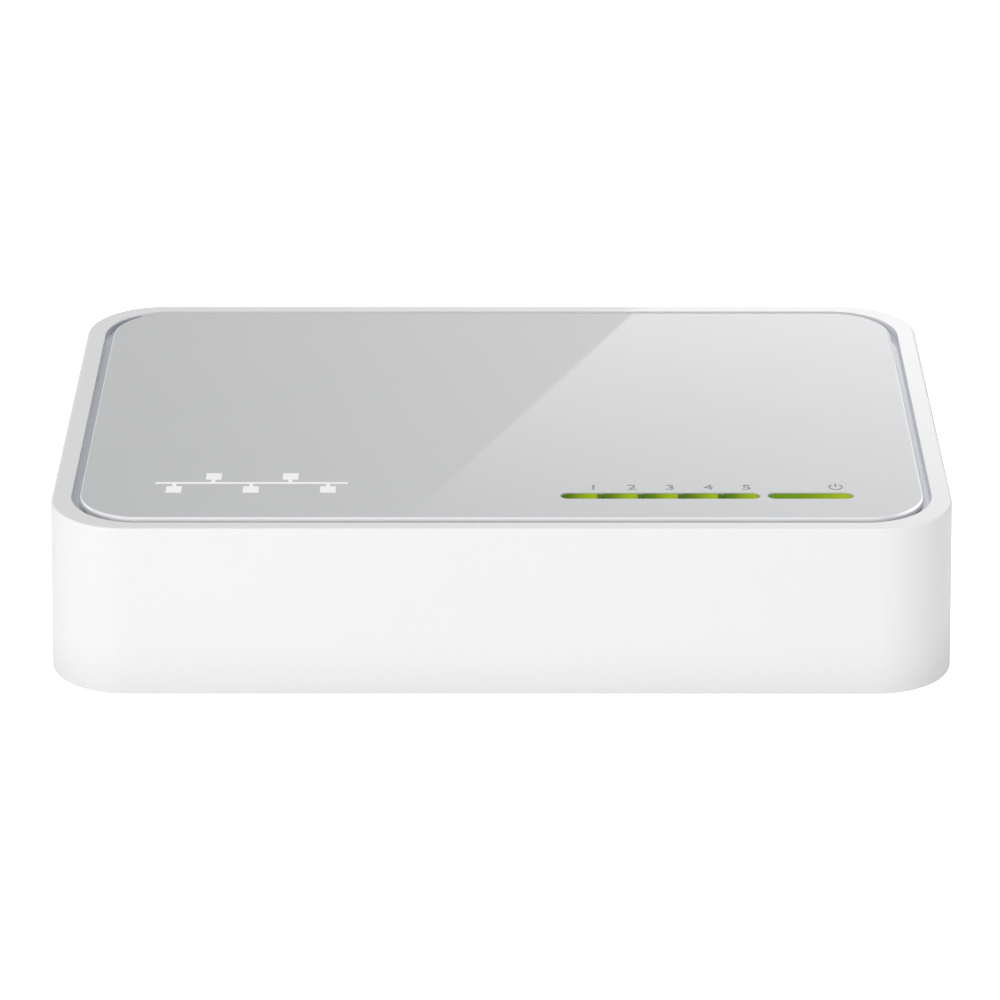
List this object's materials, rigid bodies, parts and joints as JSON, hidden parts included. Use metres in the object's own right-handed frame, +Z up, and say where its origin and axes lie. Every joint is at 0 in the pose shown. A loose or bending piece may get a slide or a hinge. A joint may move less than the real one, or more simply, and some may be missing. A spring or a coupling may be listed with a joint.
{
  "type": "desktop network switch",
  "caption": "Low rounded white box with a glossy grey inset top, a row of lit green windows near the front edge, and network ports and a power inlet at the rear.",
  "frame": {"origin": "under the middle of the case, on the surface that the feet stand on", "axes": "+Z up; the front edge with the light windows faces -Y; the ports open towards +Y; +X is to the right seen from the front"},
  "size_m": [0.1036, 0.07, 0.022],
  "materials": {
    "white_plastic": "satin white moulding",
    "silver_plate": "glossy pale silver-grey",
    "green_guide": "clear plastic lit yellow-green from below",
    "lamp_body": "pale lamp package",
    "black_plastic": "fine matte black moulding",
    "board_green": "green solder mask over glass-epoxy board",
    "gold_contact": "gold-plated spring wire",
    "bright_metal": "bright nickel plating",
    "rubber": "dark matte rubber",
    "can_sleeve": "dark blue shrink sleeve",
    "ceramic_body": "dark moulded epoxy"
  },
  "bodies": {
    "case": {"top_cover": "white_plastic", "bottom_cover": "white_plastic", "top_plate": "silver_plate", "light_guide_1": "green_guide", "light_guide_2": "green_guide", "light_guide_3": "green_guide", "light_guide_4": "green_guide", "light_guide_5": "green_guide", "light_guide_power": "green_guide", "led_1": "lamp_body", "led_2": "lamp_body", "led_3": "lamp_body", "led_4": "lamp_body", "led_5": "lamp_body", "led_power": "lamp_body", "light_baffle": "black_plastic", "port_block": "black_plastic", "power_jack": "black_plastic", "main_board": "board_green", "power_jack_pin": "bright_metal", "crystal": "bright_metal", "board_screw_left": "bright_metal", "board_screw_right": "bright_metal", "case_screw_left": "bright_metal", "case_screw_right": "bright_metal", "foot_front_left": "rubber", "foot_front_right": "rubber", "foot_rear_left": "rubber", "foot_rear_right": "rubber", "capacitor_1": "can_sleeve", "capacitor_2": "can_sleeve", "capacitor_3": "can_sleeve", "transformer_1": "ceramic_body", "transformer_2": "ceramic_body", "transformer_3": "ceramic_body", "inductor": "ceramic_body", "regulator": "ceramic_body", "diode": "ceramic_body", "resistor_pack_1": "ceramic_body", "resistor_pack_2": "ceramic_body", "resistor_pack_3": "ceramic_body", "resistor_pack_4": "ceramic_body", "switch_chip": "ceramic_body"},
    "contacts_1": {"port_contacts_1": "gold_contact"},
    "contacts_2": {"port_contacts_2": "gold_contact"},
    "contacts_3": {"port_contacts_3": "gold_contact"},
    "contacts_4": {"port_contacts_4": "gold_contact"},
    "contacts_5": {"port_contacts_5": "gold_contact"},
    "power_spring": {"power_jack_spring": "bright_metal"}
  },
  "joints": [
    {"name": "contacts_1_flex", "type": "hinge", "parent": "case", "child": "contacts_1", "pos_m": [-0.03394, 0.0323, 0.01745], "axis": [-1, 0, 0], "range_deg": [0, 9], "stiffness_Nm_per_rad": 0.02},
    {"name": "contacts_2_flex", "type": "hinge", "parent": "case", "child": "contacts_2", "pos_m": [-0.01997, 0.0323, 0.01745], "axis": [-1, 0, 0], "range_deg": [0, 9], "stiffness_Nm_per_rad": 0.02},
    {"name": "contacts_3_flex", "type": "hinge", "parent": "case", "child": "contacts_3", "pos_m": [-0.006, 0.0323, 0.01745], "axis": [-1, 0, 0], "range_deg": [0, 9], "stiffness_Nm_per_rad": 0.02},
    {"name": "contacts_4_flex", "type": "hinge", "parent": "case", "child": "contacts_4", "pos_m": [0.00797, 0.0323, 0.01745], "axis": [-1, 0, 0], "range_deg": [0, 9], "stiffness_Nm_per_rad": 0.02},
    {"name": "contacts_5_flex", "type": "hinge", "parent": "case", "child": "contacts_5", "pos_m": [0.02194, 0.0323, 0.01745], "axis": [-1, 0, 0], "range_deg": [0, 9], "stiffness_Nm_per_rad": 0.02},
    {"name": "power_spring_flex", "type": "hinge", "parent": "case", "child": "power_spring", "pos_m": [0.03642, 0.0249, 0.00985], "axis": [-1, 0, 0], "range_deg": [0, 5], "stiffness_Nm_per_rad": 0.05}
  ]
}
